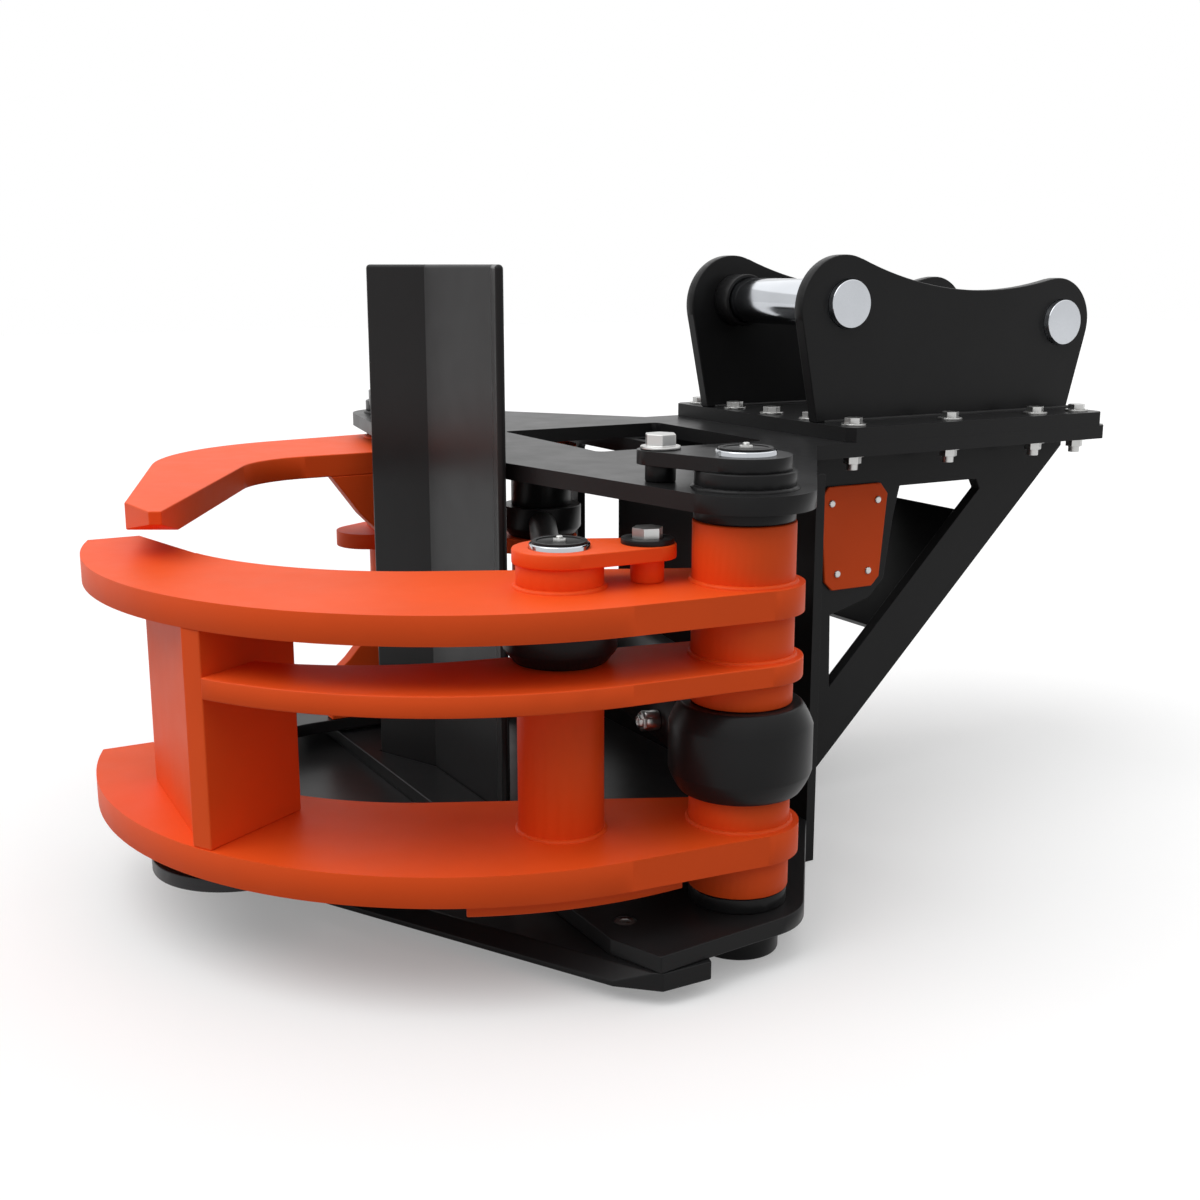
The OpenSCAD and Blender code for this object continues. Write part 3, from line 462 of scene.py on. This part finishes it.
@dataclass
class Workpiece:
    """One mesh on the bench, shaped in edit mode."""

    obj: bpy.types.Object

    @classmethod
    def bar(cls, name: str, radius: float, depth: float, place: Vector, sides: int = 64,
            turn: tuple[float, float, float] = (0.0, 0.0, 0.0)) -> "Workpiece":
        """Starts from a straight bar.

        Args:
            name: Name of the piece.
            radius: Radius of the bar.
            depth: Length of the bar.
            place: Middle of the bar.
            sides: Number of sides.
            turn: Euler angles of the bar.

        Returns:
            The new workpiece.
        """
        bpy.ops.object.select_all(action="DESELECT")
        bpy.ops.mesh.primitive_cylinder_add(
            vertices=sides, radius=radius, depth=depth, location=place, rotation=turn)
        return cls._take(name)

    @classmethod
    def hoop(cls, name: str, radius: float, thick: float, place: Vector) -> "Workpiece":
        """Starts from a flat hoop round the vertical.

        Args:
            name: Name of the piece.
            radius: Radius of the hoop's middle line.
            thick: Radius of its round section.
            place: Middle of the hoop.

        Returns:
            The new workpiece.
        """
        bpy.ops.object.select_all(action="DESELECT")
        bpy.ops.mesh.primitive_torus_add(
            major_radius=radius, minor_radius=thick, major_segments=180, minor_segments=12, location=place)
        return cls._take(name)

    @classmethod
    def _take(cls, name: str) -> "Workpiece":
        """Names the new primitive and settles its place into its mesh.

        Args:
            name: Name of the piece.

        Returns:
            The new workpiece.
        """
        obj = bpy.context.active_object
        obj.name = name
        obj.data.name = name
        bpy.ops.object.transform_apply(location=True, rotation=True, scale=True)
        return cls(obj)

    def pick(self, wanted: Callable[[bpy.types.MeshPolygon], bool]) -> None:
        """Opens edit mode with the wanted faces selected.

        Args:
            wanted: Says of a face whether it is wanted.
        """
        mesh = self.obj.data
        for part in (*mesh.vertices, *mesh.edges):
            part.select = False
        for face in mesh.polygons:
            face.select = wanted(face)
        bpy.ops.object.mode_set(mode="EDIT")
        bpy.context.tool_settings.mesh_select_mode = (False, False, True)

    def done(self) -> None:
        """Leaves edit mode."""
        bpy.ops.object.mode_set(mode="OBJECT")

    def step(self, inset: float, rise: Vector) -> None:
        """Insets the selected faces and extrudes them.

        Args:
            inset: Width of the inset.
            rise: Move of the extruded faces.
        """
        bpy.ops.mesh.inset(thickness=inset, depth=0.0)
        bpy.ops.mesh.extrude_region_move(TRANSFORM_OT_translate={"value": rise})

    def bore(self, rim: float) -> None:
        """Cuts a hole along the bar that leaves a rim.

        Args:
            rim: Width of the rim left round the hole.
        """
        bpy.ops.mesh.inset(thickness=rim, depth=0.0)
        bpy.ops.mesh.bridge_edge_loops()

    def soften(self, width: float, steps: int = 2) -> None:
        """Rounds the sharp edges for good.

        Args:
            width: Width of the rounding.
            steps: Segments of the rounding.
        """
        bevel = self.obj.modifiers.new("soften", "BEVEL")
        bevel.width = width
        bevel.segments = steps
        bevel.limit_method = "ANGLE"
        bevel.angle_limit = SHARP
        self.apply("soften")
        bpy.ops.object.shade_smooth_by_angle(angle=SMOOTH)

    def ripple(self, height: float, grain: float) -> None:
        """Gives a bead its uneven skin for good.

        Args:
            height: Height of the unevenness.
            grain: Size of the unevenness.
        """
        cloud = bpy.data.textures.new(self.obj.name, "CLOUDS")
        cloud.noise_scale = grain
        skin = self.obj.modifiers.new("ripple", "DISPLACE")
        skin.texture = cloud
        skin.strength = height
        skin.texture_coords = "LOCAL"
        self.apply("ripple")
        bpy.ops.object.shade_smooth()

    def apply(self, name: str) -> None:
        """Applies one modifier of the piece."""
        bpy.context.view_layer.objects.active = self.obj
        bpy.ops.object.modifier_apply(modifier=name)

    def copy_to(self, name: str, move: Vector) -> "Workpiece":
        """Copies the piece, before it is handed over, with a mesh of its own.

        Args:
            name: Name of the copy.
            move: Move of the copy.

        Returns:
            The copy.
        """
        twin = self.obj.copy()
        twin.data = self.obj.data.copy()
        twin.name = name
        twin.data.name = name
        bpy.context.scene.collection.objects.link(twin)
        twin.data.transform(Matrix.Translation(move))
        return Workpiece(twin)

    def scrap(self) -> None:
        """Takes a master off the bench once its copies are made."""
        bpy.data.objects.remove(self.obj)

    def hand_over(self, finish: Finish, shop: PaintShop, body: str) -> None:
        """Dresses the piece and puts it on its body.

        Args:
            finish: Finish of the piece.
            shop: Paint shop with the materials.
            body: CAD body that carries the piece.
        """
        self.obj.data.materials.clear()
        self.obj.data.materials.append(shop.materials[finish.value])
        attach(self.obj, body)
        log.info("%s made and put on %s", self.obj.name, body)


def middle(node: str) -> Vector:
    """Middle of a CAD node's box, at the height of its top."""
    low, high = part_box(node)
    return Vector(((low[0] + high[0]) / 2, (low[1] + high[1]) / 2, high[2]))


def levels(node: str) -> tuple[float, float]:
    """Heights of a CAD node's underside and top."""
    low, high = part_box(node)
    return low[2], high[2]


@dataclass
class PinCaps:
    """Black flanged caps with grease nipples in the cupped heads of the upright pins."""

    pins: dict[str, str]
    stub: float = 3.0 * MM
    play: float = 0.6 * MM
    thick: float = 1.8 * MM
    flange: float = 22.8 * MM
    plug: float = 3.4 * MM
    lip: float = 4.0 * MM
    dish: float = 1.1 * MM
    cap_edge: float = 0.5 * MM
    hex_r: float = 6.0 * MM
    hex_h: float = 4.7 * MM
    sink: float = 1.5 * MM
    neck: float = 0.8 * MM
    ball: float = 1.6 * MM
    bulge: float = 1.35
    crown: float = 0.6
    nipple_edge: float = 0.4 * MM
    cup: dict[str, float] = field(default_factory=lambda: {
        "pivot_pin_right": 18.0 * MM, "pivot_pin_left": 18.0 * MM, "near_link_pin": 19.0 * MM})

    def build(self, shop: PaintShop) -> None:
        """Makes one nipple and one cap for each width of cup, and copies them to the pins.

        Args:
            shop: Paint shop with the materials.
        """
        caps = {cup: self.cap(cup) for cup in sorted(set(self.cup.values()))}
        nipple = self.nipple()
        for pin, body in self.pins.items():
            head = middle(pin) - Vector((0.0, 0.0, self.stub))
            caps[self.cup[pin]].copy_to(pin + "_cap", head).hand_over(Finish.BLACK, shop, body)
            nipple.copy_to(pin + "_nipple", head).hand_over(Finish.ZINC, shop, body)
        for master in (nipple, *caps.values()):
            master.scrap()

    def cap(self, cup: float) -> Workpiece:
        """Makes one cap with a plug in the pin's cup and a flange on its rim.

        Args:
            cup: Radius of the cup in the pin's head.

        Returns:
            The master of the cap, its flange on the ground at the origin.
        """
        piece = Workpiece.bar("cap", self.flange, self.thick, Vector((0.0, 0.0, self.thick / 2)))
        piece.pick(lambda face: face.normal.z < -FACING)
        piece.step(self.flange - cup + self.play, Vector((0.0, 0.0, -self.plug)))
        piece.done()
        piece.pick(lambda face: face.normal.z > FACING)
        piece.step(self.lip, Vector((0.0, 0.0, -self.dish)))
        piece.done()
        piece.soften(self.cap_edge)
        return piece

    def nipple(self) -> Workpiece:
        """Makes one grease nipple.

        Returns:
            The master of the nipple, for a cap whose flange is on the ground at the origin.
        """
        place = Vector((0.0, 0.0, self.hex_h / 2 - self.sink))
        half_ball = {"value": (0.0, 0.0, self.ball / 2)}
        piece = Workpiece.bar("nipple", self.hex_r, self.hex_h, place, sides=6)
        piece.pick(lambda face: face.normal.z > FACING)
        piece.step(self.hex_r / 2, Vector((0.0, 0.0, self.neck)))
        bpy.ops.mesh.extrude_region_move(TRANSFORM_OT_translate=half_ball)
        bpy.ops.transform.resize(value=(self.bulge, self.bulge, 1.0))
        bpy.ops.mesh.extrude_region_move(TRANSFORM_OT_translate=half_ball)
        bpy.ops.transform.resize(value=(self.crown, self.crown, 1.0))
        piece.done()
        piece.soften(self.nipple_edge)
        return piece


@dataclass
class KeeperWasher:
    """Wide black washer that lies over the small one under the near keeper's bolt head."""

    wide: float = 22.0 * MM
    small: float = 17.2 * MM
    head: float = 13.2 * MM
    tall: float = 4.4 * MM
    recess: float = 3.05 * MM
    small_tall: float = 3.0 * MM
    bolt_head: float = 10.0 * MM
    edge: float = 0.4 * MM

    def build(self, shop: PaintShop) -> None:
        """Makes the washer and lays it round the bolt head.

        Args:
            shop: Paint shop with the materials.
        """
        top = middle("near_keeper_bolt")
        seat = top.z - self.bolt_head - self.small_tall
        place = Vector((top.x, top.y, seat + self.tall / 2))
        piece = Workpiece.bar("near_keeper_washer", self.wide, self.tall, place)
        piece.pick(lambda face: face.normal.z < -FACING)
        piece.step(self.wide - self.small, Vector((0.0, 0.0, self.recess)))
        bpy.ops.mesh.inset(thickness=self.small - self.head, depth=0.0)
        piece.done()
        piece.pick(lambda face: face.normal.z > FACING)
        bpy.ops.mesh.inset(thickness=self.wide - self.head, depth=0.0)
        piece.done()
        piece.pick(lambda face: abs(face.normal.z) > FACING and len(face.vertices) > 4)
        bpy.ops.mesh.bridge_edge_loops()
        piece.done()
        piece.soften(self.edge)
        piece.hand_over(Finish.BLACK, shop, "near_arm")


@dataclass
class FlangeWashers:
    """Washers under the heads and the nuts of the flange bolts."""

    step: float = 72.0 * MM
    first: float = 96.0 * MM
    last: float = 415.0 * MM
    rows: tuple[float, ...] = (0.41, 0.8, 1.0)
    across: float = 13.0 * MM
    rim: float = 3.4 * MM
    thick: float = 2.0 * MM
    edge: float = 0.3 * MM

    def places(self) -> list[tuple[float, float]]:
        """Lists the bolts' places on the flange.

        Returns:
            Place of each bolt across and along the machine.
        """
        front = [(i * self.step, self.first) for i in range(-2, 3)]
        length = self.last - self.first
        return front + [(s * self.step, self.first + length * row) for s in (-2, 2) for row in self.rows]

    def build(self, shop: PaintShop) -> None:
        """Makes one washer and copies it to every bolt, above and below.

        Args:
            shop: Paint shop with the materials.
        """
        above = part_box("hitch_flange")[1][2] + self.thick / 2
        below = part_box("top_plate")[0][2] - self.thick / 2
        master = Workpiece.bar("flange_washer", self.across, self.thick, Vector(), sides=48)
        master.pick(lambda face: abs(face.normal.z) > FACING)
        master.bore(self.rim)
        master.done()
        master.soften(self.edge, 1)
        for number, (x, y) in enumerate(self.places()):
            for side, z in (("top", above), ("low", below)):
                twin = master.copy_to(f"flange_washer_{side}_{number:02d}", Vector((x, y, z)))
                twin.hand_over(Finish.ZINC, shop, "frame")
        master.scrap()


@dataclass
class RoundWelds:
    """Weld beads round bosses and tubes, each rippled where it lies, so that no two are alike."""

    boss: float = 43.0 * MM
    tube: float = 36.0 * MM
    collar: float = 42.0 * MM
    bead: float = 2.8 * MM
    rough: float = 0.9 * MM
    grain: float = 5.0 * MM

    def ring(self, name: str, node: str, radius: float, z: float, finish: Finish, shop: PaintShop,
             body: str) -> None:
        """Makes one round bead.

        Args:
            name: Name of the bead.
            node: Upright node whose axis the bead goes round.
            radius: Radius of the boss.
            z: Height of the plate's face.
            finish: Finish of the bead.
            shop: Paint shop with the materials.
            body: CAD body that carries the bead.
        """
        axis = middle(node)
        piece = Workpiece.hoop(name, radius, self.bead, Vector((axis.x, axis.y, z)))
        piece.ripple(self.rough, self.grain)
        piece.hand_over(finish, shop, body)

    def build(self, shop: PaintShop) -> None:
        """Makes the beads of both arms and of the frame's collars.

        Args:
            shop: Paint shop with the materials.
        """
        top_low, top_high = levels("near_top_plate")
        mid_low, mid_high = levels("near_mid_plate")
        bot_low, bot_high = levels("near_bottom_plate")
        near = {"top": top_high, "under_top": top_low, "mid": mid_high,
                "under_mid": mid_low, "low": bot_high, "under_low": bot_low}
        for label, z in near.items():
            self.ring(f"near_boss_weld_{label}", "near_bosses", self.boss, z,
                      Finish.ORANGE, shop, "near_arm")
        for label in ("under_mid", "low", "top"):
            self.ring(f"near_tube_weld_{label}", "near_link_pin", self.tube, near[label],
                      Finish.ORANGE, shop, "near_arm")
        frame_top = levels("top_plate")[1]
        for side in ("right", "left"):
            self.ring(f"collar_weld_{side}", f"pivot_pin_{side}", self.collar, frame_top,
                      Finish.BLACK, shop, "frame")
        far_low, far_high = levels("far_top_plate")
        far_mid_low, far_mid_high = levels("far_mid_plate")
        far = {"top": far_high, "under_top": far_low, "mid": far_mid_high, "under_mid": far_mid_low}
        for label, z in far.items():
            self.ring(f"far_boss_weld_{label}", "far_bosses", self.boss, z,
                      Finish.ORANGE, shop, "far_arm")


@dataclass
class StraightWelds:
    """Weld beads along the feet of the ears, gussets and column."""

    bead: float = 2.8 * MM
    rough: float = 0.9 * MM
    grain: float = 5.0 * MM
    end: float = 4.0 * MM
    ear_round_front: float = 28.0 * MM
    ear_round_rear: float = 16.0 * MM
    column_half: float = 76.0 * MM

    def run(self, name: str, start: Vector, stop: Vector, shop: PaintShop) -> None:
        """Makes one straight bead on the frame.

        Args:
            name: Name of the bead.
            start: Start of the seam.
            stop: End of the seam.
            shop: Paint shop with the materials.
        """
        way = stop - start
        length = way.length - 2 * self.end
        turn = way.to_track_quat("Z", "Y").to_euler()
        piece = Workpiece.bar(name, self.bead, length, (start + stop) / 2, sides=12, turn=tuple(turn))
        along = way.normalized()
        piece.pick(lambda face: abs(face.normal.dot(along)) < 0.5)
        for _ in range(2):
            bpy.ops.mesh.subdivide(number_cuts=7)
        piece.done()
        piece.ripple(self.rough, self.grain)
        piece.hand_over(Finish.BLACK, shop, "frame")

    def build(self, shop: PaintShop) -> None:
        """Makes the frame's straight beads.

        Args:
            shop: Paint shop with the materials.
        """
        flange_top = levels("hitch_flange")[1]
        plate_low, plate_top = levels("top_plate")
        for side in ("right", "left"):
            low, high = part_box(f"ear_{side}")
            outer = max(low[0], high[0], key=abs)
            for x in (low[0], high[0]):
                face = "outer" if x == outer else "inner"
                start = Vector((x, low[1] + self.ear_round_front, flange_top))
                stop = Vector((x, high[1] - self.ear_round_rear, flange_top))
                self.run(f"ear_weld_{side}_{face}", start, stop, shop)
            low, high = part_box(f"gusset_{side}")
            outer = max(low[0], high[0], key=abs)
            front = Vector((outer, low[1], plate_low))
            rear = Vector((outer, high[1], plate_low))
            self.run(f"gusset_weld_{side}_top", front, rear, shop)
            foot = Vector((outer, low[1], low[2]))
            head = Vector((outer, low[1], high[2]))
            self.run(f"gusset_weld_{side}_back", foot, head, shop)
        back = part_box("tree_rest")[1][1]
        start = Vector((-self.column_half, back, plate_top))
        stop = Vector((self.column_half, back, plate_top))
        self.run("column_weld", start, stop, shop)


@dataclass
class PortUnions:
    """Hexagon unions on the cylinder's two ports."""

    base: Vector = field(default_factory=lambda: Vector((0.370, -0.196, 0.182)))
    lever: Vector = field(default_factory=lambda: Vector((-0.215, -0.082, 0.182)))
    stroke_end: float = 0.72
    first: float = 85.0 * MM
    last: float = 26.0 * MM
    face: float = 42.0 * MM
    across: float = 9.5 * MM
    tall: float = 9.0 * MM
    proud: float = 12.0 * MM
    throat: float = 4.5 * MM
    seat: float = 2.0 * MM
    nose: float = 3.0 * MM
    edge: float = 0.5 * MM

    def build(self, shop: PaintShop) -> None:
        """Makes one union and copies it along the barrel.

        Args:
            shop: Paint shop with the materials.
        """
        along = (self.lever - self.base).normalized()
        out = Vector((-along.y, along.x, 0.0))
        reach = (self.lever - self.base).length * self.stroke_end
        turn = tuple(out.to_track_quat("Z", "Y").to_euler())
        place = self.base + along * self.first + out * (self.face + self.proud)
        first = Workpiece.bar("port_union_0", self.across, self.tall, place, sides=6, turn=turn)
        first.pick(lambda face: face.normal.dot(out) > FACING)
        first.step(self.across - self.throat - self.seat, out * self.nose)
        first.step(self.seat, out * -self.seat)
        first.done()
        first.soften(self.edge)
        second = first.copy_to("port_union_1", along * (reach - self.last - self.first))
        for piece in (first, second):
            piece.hand_over(Finish.ZINC, shop, "barrel")


def main() -> None:
    """Builds the looks in order."""
    logging.basicConfig(level=logging.INFO, format="%(message)s")
    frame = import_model()
    bpy.context.scene.view_settings.view_transform = "Standard"
    studio = Studio()
    studio.camera()
    studio.floor()
    studio.light()
    shop = PaintShop()
    shop.mix()
    shop.dress(frame)
    pins = {"pivot_pin_right": "frame", "pivot_pin_left": "frame", "near_link_pin": "near_arm"}
    PinCaps(pins).build(shop)
    KeeperWasher().build(shop)
    FlangeWashers().build(shop)
    RoundWelds().build(shop)
    StraightWelds().build(shop)
    PortUnions().build(shop)


if __name__ == "__main__":
    main()
